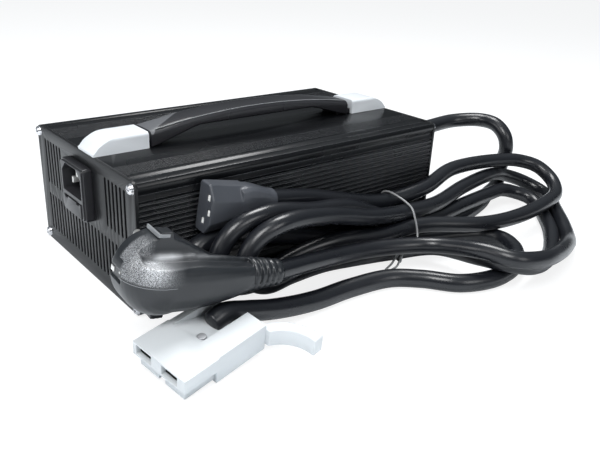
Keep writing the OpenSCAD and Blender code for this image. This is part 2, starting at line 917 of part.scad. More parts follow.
// Curved arm for pulling the connector out, a quarter ring with a block at its end
module pull_handle() {
    color("#e3e6e8")
    on_floor()
        translate([0, 0, 3]) {
            linear_extrude(10)
                difference() {
                    translate([47, -19])
                        circle(r = 25.2, $fn = 64);
                    translate([47, -19])
                        circle(r = 18.4, $fn = 64);
                    translate([0, -49.4])
                        square([conn_l, 100]);
                    translate([40, -60])
                        square([50, 41]);
                }
            translate([65.4, -22, 0])
                cube([6.8, 3, 10]);
        }
}

module tie_wire() {
    color("#5a5b5e")
        tube(tie_route, 0.7, 6);
}

top_shell();
bottom_shell();
inlet_plate();
output_plate();
plate_screws();
inlet_housing();
inlet_pins();
fuse_drawer();
fuse();
handle_cap_left();
handle_cap_right();
handle_grip();
handle_screws();
cable_gland();
gland_nut();
status_led();
fan_frame();
fan_rotor();
fan_screws();
circuit_board();
board_screws();
transformer_core();
transformer_winding();
bulk_capacitors();
heat_sinks();
power_transistors();
filter_choke();
output_inductor();
mains_lead();
c13_connector();
mains_plug();
plug_pins();
earth_clips();
dc_lead();
battery_connector();
connector_contacts();
connector_screw();
pull_handle();
tie_wire();
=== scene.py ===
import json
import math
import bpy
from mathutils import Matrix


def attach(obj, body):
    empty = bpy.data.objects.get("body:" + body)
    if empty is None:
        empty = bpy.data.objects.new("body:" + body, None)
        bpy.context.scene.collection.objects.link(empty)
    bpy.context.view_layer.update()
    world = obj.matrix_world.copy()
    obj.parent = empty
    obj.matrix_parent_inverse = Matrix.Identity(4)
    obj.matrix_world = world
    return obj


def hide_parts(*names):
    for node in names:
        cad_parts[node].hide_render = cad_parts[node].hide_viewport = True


bl_info = {
    "name": "Lithium battery charger",
    "version": (1, 0, 0),
    "blender": (4, 5, 0),
    "location": "3D View > Sidebar > Charger",
    "description": "Builds a battery charger in a ribbed case, with its two leads, "
                   "around its packed solids",
    "category": "Object",
}

import bmesh
import bpy
from bpy.props import FloatProperty, FloatVectorProperty, PointerProperty
from mathutils import Euler, Matrix, Vector

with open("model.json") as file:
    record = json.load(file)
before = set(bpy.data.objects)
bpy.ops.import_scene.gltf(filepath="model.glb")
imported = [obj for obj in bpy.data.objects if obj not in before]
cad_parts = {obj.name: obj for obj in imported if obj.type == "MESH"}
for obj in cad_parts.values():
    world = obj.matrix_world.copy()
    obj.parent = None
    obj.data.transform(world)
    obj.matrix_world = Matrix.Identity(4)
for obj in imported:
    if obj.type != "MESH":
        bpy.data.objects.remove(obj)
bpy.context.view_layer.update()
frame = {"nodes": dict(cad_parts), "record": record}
MM = 0.001
SCENE = bpy.context.scene

# The camera: place in metres, angles in degrees, focal length in picture widths.
CAMERA_PLACE = (-0.2611, -0.3622, 0.1988)
CAMERA_YAW, CAMERA_PITCH, CAMERA_ROLL = 39.897, -23.388, 2.588
CAMERA_FOCAL = 672.26 / 600.0
CAMERA_SHIFT = (0.0192, -0.0027)
SENSOR_WIDTH = 36.0

# The lamps: name, place and aim in metres, size in metres, power in watts.
LAMPS = (
    ("key", (-0.50, -0.45, 0.85), (0.0, -0.08, 0.03), 0.45, 7.0),
    ("top", (0.30, 0.20, 1.00), (0.0, -0.05, 0.05), 0.45, 8.0),
    ("fill", (-0.9, 0.1, 0.45), (-0.1, 0.0, 0.04), 0.5, 2.0),
    ("front", (0.1, -1.1, 0.60), (0.0, -0.1, 0.02), 0.5, 2.6),
)

# The floor: colour, strength of its glow, and the share of the glow that the camera sees.
FLOOR_COLOUR, FLOOR_GLOW, GLOW_SHARE = (0.89, 0.92, 0.95), 1.15, 0.72

# The room's light: colour, then its strength low down and overhead.
ROOM_COLOUR, ROOM_LOW, ROOM_HIGH = (0.86, 0.94, 1.0), 0.05, 0.45

# Faces that meet at less than this angle are shaded as one smooth surface.
SMOOTH_BELOW = math.radians(38.0)

# Height of the case's top over the surface it stands on, in millimetres.
CASE_TOP = 79.0

# The mains lead from the appliance connector to the plug, in millimetres.
MAINS_ROUTE = [
    (-37, -77, 57), (-7.5, -74.5, 51), (24, -73, 42), (61.5, -74.5, 33.5), (98, -79, 37),
    (143, -68, 40), (205, -67, 36), (228, -72, 33), (239, -83, 29), (239, -97, 22),
    (227, -109, 17), (202, -116.5, 16.5), (160, -120, 16), (119.5, -116.5, 18), (75, -99.5, 21.5),
    (40, -94, 21), (6, -88, 23), (-27, -83, 17.5), (-54, -87.5, 12), (-74, -89, 18),
    (-82, -89.5, 34), (-73, -90.5, 50), (-51.5, -92, 56), (-16.5, -89, 49), (19.5, -84.5, 42),
    (60.5, -83.5, 24.5), (98, -85.5, 16), (141.5, -84, 17), (179.5, -79.5, 16), (199, -78, 15),
    (211, -82, 12), (218, -92, 9), (216, -103, 6), (204, -114.5, 5.5), (177, -137.5, 6),
    (145, -157, 5.5), (120.5, -166, 8), (98, -169, 13), (82.5, -163, 17), (78, -146, 15.5),
    (72, -115, 12), (50, -99, 8), (20, -94, 10), (-8, -93, 13), (-36, -96, 15), (-55, -99, 16),
    (-68, -100.5, 24), (-71, -100.5, 36), (-64, -101, 47), (-49, -103, 53.5),
    (-11.5, -99.5, 48.5), (28.5, -95.5, 37), (69.5, -91.5, 30), (106, -86.5, 26.5),
    (149.5, -76.5, 27.5), (199, -67, 25), (223, -65, 19), (239, -71, 13), (245, -85, 8),
    (238, -100, 6), (221.5, -114, 6), (197, -135.5, 6), (175, -152.5, 6), (150, -164.5, 12.5),
    (122.5, -173, 17), (96.5, -176.5, 21.5), (77.5, -171, 24.5), (70.5, -153, 25), (60, -121, 19),
    (25, -106, 20), (-20, -109, 27), (-60, -114.5, 33),
]

# The output lead from inside its gland to the battery connector.
OUTPUT_ROUTE = [
    (110, -12, 53), (146, -12, 53), (182, -11, 54), (210, -14, 56), (226, -29, 58),
    (228, -44, 57), (228, -54, 50), (229, -57, 40), (232, -54, 29), (231, -53, 17), (222, -58, 9),
    (203, -63, 6), (175.5, -74.5, 6), (140.5, -81.5, 6), (92.5, -77, 6), (51.5, -73.5, 7),
    (1.5, -74, 6), (-50, -75, 6), (-72, -75, 6.5), (-87, -75, 11), (-93, -75, 25), (-87, -75, 37),
    (-72, -75, 41), (-52, -75, 38.5), (-13, -73.5, 26), (19, -79, 17), (44, -85, 12.5),
    (66, -89, 7), (90, -95, 6), (113, -103, 6), (128.5, -111.5, 6), (134, -125, 6),
    (128, -139, 6), (113, -151, 6), (95.5, -157.5, 6), (76, -158, 6), (55, -150, 6),
    (40, -133, 6), (24, -121, 6), (-5, -116, 6), (-30, -116, 6.5), (-48, -116, 8.5),
    (-66, -116, 12), (-82, -116, 16.5), (-96, -116.5, 20), (-103, -117, 18),
]

# The wire twisted round the bundle.
TIE_ROUTE = [
    (41, -107, 0.8), (45, -108, 3), (49, -107.4, 9.5), (53, -107.6, 13), (57, -107.6, 14),
    (61, -108.6, 16), (64, -105.6, 22), (65, -101.5, 30), (66, -97, 35.2), (66, -91.8, 37.4),
    (66, -84, 39.2), (66, -76, 39.9), (66, -70.6, 38), (66, -68.8, 33.4), (66, -68.4, 20),
    (65, -68.5, 7.5), (64, -69.6, 2.4), (63, -74.5, 0.8), (60, -88, 0.8), (56, -98, 0.8),
    (52.5, -104, 2.2), (50.5, -106, 6), (51, -106.2, 10), (47, -105.4, 9), (43, -105, 4),
    (38, -104.6, 0.8),
]


def set_down(place, turn):
    """Where a loose piece lies: its own axes, turned by degrees and set down at millimetres."""
    angles = Euler([math.radians(a) for a in turn])
    return Matrix.Translation(Vector(place) * MM) @ angles.to_matrix().to_4x4()


PLUG = set_down((-123.3, -96.5, 44.6), (0, 10, -5))
SOCKET = set_down((-82, -77, 61), (6, 5, 0))
CONNECTOR = set_down((-136.1, -144.8, -1.6), (9, -6, 10))


# --- shared helpers -------------------------------------------------------


def smooth_route(points, steps=8):
    """A smooth line through the points, in metres: a centripetal Catmull-Rom curve."""
    pts = [Vector(p) * MM for p in points]
    pts = [pts[0] * 2 - pts[1]] + pts + [pts[-1] * 2 - pts[-2]]
    line = []
    for a, b, c, d in zip(pts, pts[1:], pts[2:], pts[3:]):
        t = [0.0]
        for p, q in ((a, b), (b, c), (c, d)):
            t.append(t[-1] + max((q - p).length, 1e-9) ** 0.5)
        for i in range(steps):
            u = t[1] + (t[2] - t[1]) * i / steps
            ab = a.lerp(b, (u - t[0]) / (t[1] - t[0]))
            bc = b.lerp(c, (u - t[1]) / (t[2] - t[1]))
            cd = c.lerp(d, (u - t[2]) / (t[3] - t[2]))
            abc = ab.lerp(bc, (u - t[0]) / (t[2] - t[0]))
            bcd = bc.lerp(cd, (u - t[1]) / (t[3] - t[1]))
            line.append(abc.lerp(bcd, (u - t[1]) / (t[2] - t[1])))
    line.append(pts[-2])
    return line


def ramp(value, start, end):
    """0 at the start, 1 at the end and straight in between."""
    return max(0.0, min(1.0, (value - start) / (end - start)))


def select_none():
    """Object mode with nothing selected."""
    if bpy.context.mode != "OBJECT":
        bpy.ops.object.mode_set(mode="OBJECT")
    bpy.ops.object.select_all(action="DESELECT")


def select_only(piece):
    """Object mode with one piece selected and active."""
    select_none()
    piece.select_set(True)
    bpy.context.view_layer.objects.active = piece


def lead_curve(name, line, radius):
    """A round lead as a curve of one open spline along the line."""
    data = bpy.data.curves.new(name, "CURVE")
    data.dimensions = "3D"
    data.bevel_depth = radius
    data.bevel_resolution = 6
    data.use_fill_caps = True
    spline = data.splines.new("POLY")
    spline.points.add(len(line) - 1)
    for point, place in zip(spline.points, line):
        point.co = (*place, 1.0)
    spline.use_smooth = True
    piece = bpy.data.objects.new(name, data)
    SCENE.collection.objects.link(piece)
    return piece


def edit(piece):
    """Opens a piece in edit mode with nothing of it selected."""
    select_only(piece)
    bpy.ops.object.mode_set(mode="EDIT")
    bpy.ops.mesh.select_all(action="DESELECT")


def close_edit():
    """Back to object mode."""
    bpy.ops.object.mode_set(mode="OBJECT")


def fix_place(piece):
    """Moves the place of a piece into its mesh."""
    select_only(piece)
    bpy.ops.object.transform_apply(location=True, rotation=True, scale=True)
    return piece


def modified(piece, kind, **settings):
    """Adds one modifier with its settings and applies it."""
    select_only(piece)
    step = piece.modifiers.new(kind.lower(), kind)
    for name, value in settings.items():
        setattr(step, name, value)
    bpy.ops.object.modifier_apply(modifier=step.name)
    return piece


def eased(piece, width, segments=2, above=30.0, edge_slot=-1):
    """Rounds the edges that turn by more than an angle, then shades the piece smooth.

    The rounded edges take the material in the slot given, or that of their neighbours.
    """
    modified(piece, "BEVEL", width=width * MM, segments=segments, limit_method="ANGLE",
             angle_limit=math.radians(above), miter_outer="MITER_ARC", material=edge_slot)
    select_only(piece)
    bpy.ops.object.shade_smooth_by_angle(angle=SMOOTH_BELOW)
    return piece


def moulded(piece, grid, passes):
    """Makes one soft skin of all the forms in a piece, as a rubber moulding has."""
    modified(piece, "REMESH", mode="VOXEL", voxel_size=grid * MM)
    modified(piece, "SMOOTH", factor=0.5, iterations=passes)
    select_only(piece)
    bpy.ops.object.shade_smooth()
    return piece


def merged_copy(name, node):
    """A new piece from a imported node, its loose triangles joined into clean faces."""
    piece = bpy.data.objects.new(name, frame["nodes"][node].data.copy())
    piece.data.name = name
    SCENE.collection.objects.link(piece)
    edit(piece)
    bpy.ops.mesh.select_all(action="SELECT")
    bpy.ops.mesh.remove_doubles(threshold=0.01 * MM)
    bpy.ops.mesh.dissolve_limited(angle_limit=math.radians(1.0))
    close_edit()
    return piece


def block(low, high, place, ease=0.0):
    """A bar between two corners in millimetres on a loose piece's own axes."""
    select_none()
    bpy.ops.mesh.primitive_cube_add(size=1.0)
    piece = bpy.context.object
    low, high = Vector(low) * MM, Vector(high) * MM
    middle = Matrix.Translation((low + high) / 2)
    piece.matrix_world = place @ middle @ Matrix.Diagonal((*(high - low), 1.0))
    fix_place(piece)
    if ease:
        edit(piece)
        bpy.ops.mesh.select_all(action="SELECT")
        bpy.ops.mesh.bevel(offset=ease * MM, segments=3)
        close_edit()
    return piece


def turned(start, end, r_start, r_end, place, sides=48):
    """A round bar or cone between two points in millimetres on a loose piece's own axes."""
    select_none()
    start, end = Vector(start) * MM, Vector(end) * MM
    bpy.ops.mesh.primitive_cone_add(vertices=sides, radius1=r_start * MM, radius2=r_end * MM,
                                    depth=(end - start).length)
    piece = bpy.context.object
    lean = (end - start).to_track_quat("Z", "Y").to_matrix().to_4x4()
    piece.matrix_world = place @ Matrix.Translation((start + end) / 2) @ lean
    return fix_place(piece)


def joined(name, pieces):
    """One piece out of several."""
    select_none()
    for piece in pieces:
        piece.select_set(True)
    bpy.context.view_layer.objects.active = pieces[0]
    bpy.ops.object.join()
    pieces[0].name = name
    pieces[0].data.name = name
    return pieces[0]


def bead(name, points, radius, place):
    """A thin raised line along points in millimetres on a loose piece's own axes."""
    piece = lead_curve(name, [place @ (Vector(p) * MM) for p in points], radius * MM)
    piece.data.bevel_resolution = 2
    select_only(piece)
    bpy.ops.object.convert(target="MESH")
    return piece


def dress(name, node, slot, width, segments=2, above=30.0, body="chassis"):
    """The usual rigid piece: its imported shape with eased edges, in its slot's finish."""
    piece = eased(merged_copy(name, node), width, segments, above)
    paint(piece, slot)
    return place_piece(piece, node, body)


def place_piece(piece, node, body="chassis"):
    """The piece stands for its CAD node, which it hides, and rides on its body."""
    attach(piece, body)
    if node:
        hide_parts(*([node] if isinstance(node, str) else node))
    return piece


# --- finishes -------------------------------------------------------------


def new_finish(name, colour, rough, metal):
    """A material with its shader and its place on Object coordinates."""
    made = bpy.data.materials.new(name)
    made.use_nodes = True
    nodes, links = made.node_tree.nodes, made.node_tree.links
    shader = nodes["Principled BSDF"]
    shader.inputs["Base Color"].default_value = (*colour, 1.0)
    shader.inputs["Roughness"].default_value = rough
    shader.inputs["Metallic"].default_value = metal
    spot = nodes.new("ShaderNodeTexCoord")
    made.diffuse_color = (*colour, 1.0)
    return made, nodes, links, shader, spot.outputs["Object"]


def stretched(nodes, links, spot, scale):
    """The same place, scaled along each axis."""
    mapping = nodes.new("ShaderNodeMapping")
    mapping.inputs["Scale"].default_value = scale
    links.new(spot, mapping.inputs["Vector"])
    return mapping.outputs["Vector"]


def noise(nodes, links, spot, scale, detail):
    """Soft noise with so many cells a metre."""
    made = nodes.new("ShaderNodeTexNoise")
    made.inputs["Scale"].default_value = scale
    made.inputs["Detail"].default_value = detail
    links.new(spot, made.inputs["Vector"])
    return made.outputs["Fac"]


def spread(nodes, links, value, low, high, start=0.3, end=0.7):
    """Maps the part of a noise between start and end onto a range."""
    made = nodes.new("ShaderNodeMapRange")
    made.inputs["From Min"].default_value = start
    made.inputs["From Max"].default_value = end
    made.inputs["To Min"].default_value = low
    made.inputs["To Max"].default_value = high
    links.new(value, made.inputs["Value"])
    return made.outputs["Result"]


def times(nodes, links, one, other):
    """The product of two values."""
    made = nodes.new("ShaderNodeMath")
    made.operation = "MULTIPLY"
    links.new(one, made.inputs[0])
    links.new(other, made.inputs[1])
    return made.outputs[0]


def marked(nodes, attribute):
    """How strongly an attribute of the mesh marks each place."""
    made = nodes.new("ShaderNodeAttribute")
    made.attribute_name = attribute
    return made.outputs["Fac"]


def tint(nodes, links, value, dark, light):
    """A colour between a dark and a light one, by a value."""
    made = nodes.new("ShaderNodeMix")
    made.data_type = "RGBA"
    made.inputs["A"].default_value = (*dark, 1.0)
    made.inputs["B"].default_value = (*light, 1.0)
    links.new(value, made.inputs["Factor"])
    return made.outputs["Result"]


def laid_over(nodes, links, shader, amount, colour):
    """Mixes a colour over the shader's own, by an amount."""
    made = nodes.new("ShaderNodeMix")
    made.data_type = "RGBA"
    made.inputs["B"].default_value = (*colour, 1.0)
    links.new(amount, made.inputs["Factor"])
    links.new(shader.inputs["Base Color"].links[0].from_socket, made.inputs["A"])
    links.new(made.outputs["Result"], shader.inputs["Base Color"])


def relief(nodes, links, shader, height, strength, depth):
    """Raises the surface by a height, up to a depth in metres."""
    made = nodes.new("ShaderNodeBump")
    made.inputs["Strength"].default_value = strength
    made.inputs["Distance"].default_value = depth
    links.new(height, made.inputs["Height"])
    links.new(made.outputs["Normal"], shader.inputs["Normal"])


def grained(name, colour, rough, grain, bump, depth=0.0001, metal=0.0, vary=0.12,
            stretch=(1, 1, 1), cloud=14.0, rough_vary=0.06, gloss=0.5):
    """Moulded or painted surface: fine grain, slow colour drift and uneven gloss."""
    made, nodes, links, shader, spot = new_finish(name, colour, rough, metal)
    shader.inputs["Specular IOR Level"].default_value = gloss
    fine = noise(nodes, links, stretched(nodes, links, spot, stretch), grain, 4.0)
    slow = noise(nodes, links, spot, cloud, 2.0)
    dark = [c * (1 - vary) for c in colour]
    light = [min(1.0, c * (1 + vary)) for c in colour]
    links.new(tint(nodes, links, slow, dark, light), shader.inputs["Base Color"])
    links.new(spread(nodes, links, slow, rough - rough_vary, rough + rough_vary),
              shader.inputs["Roughness"])
    relief(nodes, links, shader, fine, bump, depth)
    return made


def speckled_with_highlight(name, colour, grain_colour, rough):
    """Soft moulding with light coarse grain where the "coarse" attribute says so.

    A second attribute marks a painted highlight, which lightens the colour there.
    """
    made = grained(name, colour, rough, 1500, 0.16, depth=0.00012, cloud=25.0)
    nodes, links = made.node_tree.nodes, made.node_tree.links
    shader = nodes["Principled BSDF"]
    spot = nodes.new("ShaderNodeTexCoord").outputs["Object"]
    grit = spread(nodes, links, noise(nodes, links, spot, 2600.0, 3.0), 0.0, 1.0, 0.40, 0.66)
    amount = times(nodes, links, grit, marked(nodes, "coarse"))
    laid_over(nodes, links, shader, amount, grain_colour)
    # The painted highlight: a lighter tone where the second attribute says so.
    laid_over(nodes, links, shader, marked(nodes, "crest_highlight"), [c * 0.6 for c in grain_colour])
    return made


def shaded_inside(name, colour, dark, rough):
    """Light plastic with painted shade where the "inner" attribute says so."""
    made = grained(name, colour, rough, 1500, 0.12, vary=0.04, cloud=40.0)
    nodes, links = made.node_tree.nodes, made.node_tree.links
    laid_over(nodes, links, nodes["Principled BSDF"], marked(nodes, "inner"), dark)
    return made


# The die lines of an extrusion: the grain is drawn out along the case.
DIE_LINES = (0.01, 1.6, 1.6)


def finish_table():
    """Every finish of the charger: first by the record's slot names, then the extra ones."""
    look = SCENE.charger_finish
    case, caps = tuple(look.case_colour), tuple(look.cap_colour)
    connector, leads = tuple(look.connector_colour), tuple(look.lead_colour)
    return {
        "case_black": grained("case_anodised", case, 0.27, 1500, 0.030, vary=0.10,
                              stretch=DIE_LINES, rough_vary=0.04, gloss=0.30),
        "plate_black": grained("end_plate_paint", case, 0.40, 2200, 0.22, gloss=0.40),
        "screw_steel": grained("bright_screw", (0.72, 0.72, 0.74), 0.22, 1800, 0.05,
                               depth=0.00005, metal=1.0),
        "screw_black": grained("black_screw", (0.05, 0.05, 0.052), 0.35, 1800, 0.05,
                               depth=0.00005, metal=0.6),
        "inlet_plastic": grained("inlet_moulding", (0.022, 0.022, 0.025), 0.33, 1600, 0.12),
        "contact_metal": grained("contact_plating", (0.74, 0.73, 0.71), 0.34, 900, 0.05,
                                 depth=0.00005, metal=0.8),
        "fuse_glass": grained("fuse_glass", (0.80, 0.84, 0.82), 0.08, 300, 0.02),
        "cap_grey": grained("cap_plastic", caps, 0.38, 1800, 0.10, vary=0.03),
        "grip_black": grained("grip_plastic", (0.017, 0.017, 0.020), 0.30, 1300, 0.16,
                              depth=0.00012),
        "gland_rubber": grained("gland_rubber", (0.020, 0.020, 0.022), 0.5, 1200, 0.15),
        "led_lens": grained("lamp_lens", (0.55, 0.75, 0.55), 0.25, 600, 0.05),
        "fan_plastic": grained("fan_plastic", (0.035, 0.035, 0.038), 0.45, 1400, 0.10),
        "board_green": grained("board_mask", (0.02, 0.14, 0.06), 0.3, 700, 0.10,
                               vary=0.15, cloud=160.0),
        "ferrite": grained("ferrite", (0.06, 0.06, 0.065), 0.55, 900, 0.2),
        "winding_tape": grained("winding_tape", (0.62, 0.42, 0.06), 0.35, 300, 0.15, depth=0.0002),
        "capacitor_sleeve": grained("capacitor_sleeve", (0.03, 0.04, 0.07), 0.28, 500, 0.05),
        "sink_aluminium": grained("sink_aluminium", (0.62, 0.63, 0.65), 0.35, 900, 0.12,
                                  metal=1.0, vary=0.05, stretch=(0.05, 1, 1)),
        "package_black": grained("package_plastic", (0.025, 0.025, 0.027), 0.5, 1500, 0.1),
        "copper_wire": grained("copper_winding", (0.55, 0.22, 0.08), 0.3, 500, 0.3,
                               depth=0.0004, metal=0.7),
        "lead_jacket": grained("lead_jacket", leads, 0.30, 1100, 0.10, depth=0.00012,
                               vary=0.15, cloud=30.0),
        "lead_moulding": grained("plug_moulding", (0.016, 0.018, 0.021), 0.31, 1500, 0.14,
                                 depth=0.00012, cloud=25.0),
        "connector_shell": grained("connector_plastic", connector, 0.40, 1500, 0.12,
                                   vary=0.04, cloud=40.0),
        "tie_coating": grained("tie_coating", (0.24, 0.245, 0.25), 0.22, 900, 0.05),

        # Lighter rounded edges on the case: a painted highlight along each rib.
        "painted_rib_highlight": grained("case_painted_rib_highlight", (0.105, 0.108, 0.116), 0.30, 1500, 0.02,
                             stretch=DIE_LINES, cloud=20.0),
        # A lighter tone for the strap's upward faces at the inlet end: a painted reflection.
        "strap_painted_reflection": grained("strap_painted_reflection", (0.100, 0.104, 0.112), 0.40, 1300, 0.20,
                               depth=0.00012),
        # Light coarse grain on the plug's back, with a painted highlight on its crest.
        "plug_grain_and_highlight": speckled_with_highlight("plug_grain_and_painted_highlight", (0.014, 0.016, 0.019),
                                  (0.85, 0.87, 0.90), 0.31),
        # Light lines on edges and seams: wear and a painted highlight.
        "wear_and_highlight_line": grained("moulding_wear_and_painted_highlight", (0.22, 0.23, 0.24), 0.4, 1500, 0.2),
        "socket_satin": grained("socket_satin", (0.056, 0.061, 0.072), 0.36, 1500, 0.16,
                                depth=0.00012, cloud=40.0),
        # Light and not metal: the contacts' glint is painted into their colour.
        "contact_painted_glint": grained("contact_painted_glint", (0.86, 0.86, 0.84), 0.45, 900, 0.05, depth=0.00005),
        # The battery connector's plastic, with painted shade deep inside its mouths.
        "connector_shaded": shaded_inside("connector_with_painted_shade", connector, (0.010, 0.011, 0.012), 0.40),
        "dull_screw": grained("dull_screw", (0.42, 0.43, 0.45), 0.45, 1800, 0.08,
                              depth=0.00005, metal=0.5),
    }


FINISH = {}


def paint(piece, *finishes):
    """Gives a piece one finish, or more where some of its faces have their own."""
    piece.data.materials.clear()
    for finish in finishes:
        piece.data.materials.append(FINISH[finish])


# --- sizes and colours a user may change ------------------------------------


class ChargerFinish(bpy.types.PropertyGroup):
    case_colour: FloatVectorProperty(
        name="Case colour", description="Colour of the shells and end plates",
        subtype="COLOR", size=3, min=0.0, max=1.0, default=(0.0045, 0.005, 0.006))
    cap_colour: FloatVectorProperty(
        name="Cap colour", description="Colour of the two handle caps",
        subtype="COLOR", size=3, min=0.0, max=1.0, default=(0.68, 0.71, 0.74))
    connector_colour: FloatVectorProperty(
        name="Connector colour", description="Colour of the battery connector",
        subtype="COLOR", size=3, min=0.0, max=1.0, default=(0.62, 0.65, 0.67))
    lead_colour: FloatVectorProperty(
        name="Lead colour", description="Colour of both leads",
        subtype="COLOR", size=3, min=0.0, max=1.0, default=(0.008, 0.009, 0.012))


class ChargerLeads(bpy.types.PropertyGroup):
    mains_diameter: FloatProperty(
        name="Mains lead", description="Diameter of the mains lead",
        default=0.0108, min=0.006, max=0.0112, unit="LENGTH")
    output_diameter: FloatProperty(
        name="Output lead", description="Diameter of the output lead",
        default=0.0116, min=0.007, max=0.012, unit="LENGTH")


# --- operators --------------------------------------------------------------


class CHARGER_OT_stage(bpy.types.Operator):
    """Camera, floor, soft lamps and a pale world"""

    bl_idname = "charger.stage"
    bl_label = "Stage"

    def execute(self, context):
        self.set_camera()
        SCENE.view_settings.view_transform = "Standard"
        self.lay_floor()
        self.light_room()
        for name, place, aim, size, power in LAMPS:
            lamp = bpy.data.lights.new(name, "AREA")
            lamp.shape = "DISK"
            lamp.size = size
            lamp.energy = power
            holder = bpy.data.objects.new(name, lamp)
            SCENE.collection.objects.link(holder)
            holder.location = place
            ahead = Vector(aim) - Vector(place)
            holder.rotation_euler = ahead.to_track_quat("-Z", "Y").to_euler()
        return {"FINISHED"}

    def set_camera(self):
        """The camera, turned by its yaw from +Y, then its pitch, then its roll."""
        yaw, pitch, roll = (math.radians(a) for a in (CAMERA_YAW, CAMERA_PITCH, CAMERA_ROLL))
        forward = Vector((math.sin(yaw) * math.cos(pitch), math.cos(yaw) * math.cos(pitch),
                          math.sin(pitch)))
        level = Vector((math.cos(yaw), -math.sin(yaw), 0.0))
        upright = level.cross(forward)
        right = level * math.cos(roll) + upright * math.sin(roll)
        up = upright * math.cos(roll) - level * math.sin(roll)
        camera = bpy.data.objects.new("photo_camera", bpy.data.cameras.new("photo_camera"))
        SCENE.collection.objects.link(camera)
        camera.data.sensor_width = SENSOR_WIDTH
        camera.data.lens = CAMERA_FOCAL * SENSOR_WIDTH
        camera.data.shift_x, camera.data.shift_y = CAMERA_SHIFT
        camera.data.clip_start, camera.data.clip_end = 0.01, 20.0
        turn = Matrix((right, up, -forward)).transposed().to_4x4()
        camera.matrix_world = Matrix.Translation(CAMERA_PLACE) @ turn
        SCENE.camera = camera

    def lay_floor(self):
        """A plain floor that the camera sees mostly as white, and that still takes shadows."""
        select_none()
        bpy.ops.mesh.primitive_plane_add(size=8.0, location=(0, 0, -0.0001))
        floor = bpy.context.object
        floor.name = "floor"
        made = bpy.data.materials.new("pale_floor")
        made.use_nodes = True
        nodes, links = made.node_tree.nodes, made.node_tree.links
        shader = nodes["Principled BSDF"]
        shader.inputs["Base Color"].default_value = (*FLOOR_COLOUR, 1)
        shader.inputs["Roughness"].default_value = 0.9
        glow = nodes.new("ShaderNodeEmission")
        glow.inputs["Strength"].default_value = FLOOR_GLOW
        rays = nodes.new("ShaderNodeLightPath")
        share = nodes.new("ShaderNodeMath")
        share.operation = "MULTIPLY"
        share.inputs[1].default_value = GLOW_SHARE
        links.new(rays.outputs["Is Camera Ray"], share.inputs[0])
        mix = nodes.new("ShaderNodeMixShader")
        links.new(share.outputs[0], mix.inputs["Fac"])
        links.new(shader.outputs[0], mix.inputs[1])
        links.new(glow.outputs[0], mix.inputs[2])
        links.new(mix.outputs[0], nodes["Material Output"].inputs["Surface"])
        floor.data.materials.append(made)

    def light_room(self):
        """A world that the camera sees as white, and that lights more from overhead."""
        world = bpy.data.worlds.new("pale_room")
        SCENE.world = world
        world.use_nodes = True
        nodes, links = world.node_tree.nodes, world.node_tree.links
        nodes.clear()
        room = nodes.new("ShaderNodeBackground")
        room.inputs["Color"].default_value = (*ROOM_COLOUR, 1)
        facing = nodes.new("ShaderNodeTexCoord")
        height = nodes.new("ShaderNodeSeparateXYZ")
        links.new(facing.outputs["Generated"], height.inputs["Vector"])
        strength = spread(nodes, links, height.outputs["Z"], ROOM_LOW, ROOM_HIGH, 0.1, 0.9)
        links.new(strength, room.inputs["Strength"])
        seen = nodes.new("ShaderNodeBackground")
        seen.inputs["Color"].default_value = (1, 1, 1, 1)
        seen.inputs["Strength"].default_value = 1.0
        rays = nodes.new("ShaderNodeLightPath")
        mix = nodes.new("ShaderNodeMixShader")
        out = nodes.new("ShaderNodeOutputWorld")
        links.new(rays.outputs["Is Camera Ray"], mix.inputs["Fac"])
        links.new(room.outputs[0], mix.inputs[1])
        links.new(seen.outputs[0], mix.inputs[2])
        links.new(mix.outputs[0], out.inputs["Surface"])


class CHARGER_OT_finishes(bpy.types.Operator):
    """Procedural finishes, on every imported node"""

    bl_idname = "charger.finishes"
    bl_label = "Finishes"

    def execute(self, context):
        FINISH.update(finish_table())
        for row in frame["record"]["subparts"]:
            node = frame["nodes"][row["node"]]
            node.data.materials.clear()
            node.data.materials.append(FINISH[row["material_slot"]])
        return {"FINISHED"}


class CHARGER_OT_shells(bpy.types.Operator):
    """The two ribbed extrusions of the case"""

    bl_idname = "charger.shells"
    bl_label = "Shells"

    def execute(self, context):
        for name, node in (("upper_extrusion", "top_shell"), ("lower_extrusion", "bottom_shell")):
            shell = merged_copy(name, node)
            # The rounded edges take the lighter second finish: a painted highlight along the ribs.
            paint(shell, "case_black", "painted_rib_highlight")
            eased(shell, width=0.16, edge_slot=1)
            place_piece(shell, node)
        return {"FINISHED"}


class CHARGER_OT_end_plates(bpy.types.Operator):
    """The slotted end plates with their eight screws"""

    bl_idname = "charger.end_plates"
    bl_label = "End plates"

    def execute(self, context):
        dress("slotted_plate_inlet_end", "inlet_plate", "plate_black", width=0.25)
        dress("slotted_plate_output_end", "output_plate", "plate_black", width=0.25)
        dress("corner_screws", "plate_screws", "screw_steel", width=0.12)
        return {"FINISHED"}


class CHARGER_OT_inlet(bpy.types.Operator):
    """The mains inlet, its three blades, the fuse drawer and the fuse"""

    bl_idname = "charger.inlet"
    bl_label = "Inlet"

    def execute(self, context):
        dress("inlet_moulding", "inlet_housing", "inlet_plastic", width=0.45, segments=3)
        dress("inlet_blades", "inlet_pins", "contact_metal", width=0.35)
        dress("fuse_drawer_moulding", "fuse_drawer", "inlet_plastic", width=0.3, body="drawer")
        dress("drawer_fuse", "fuse", "fuse_glass", width=0.25, body="drawer")
        return {"FINISHED"}


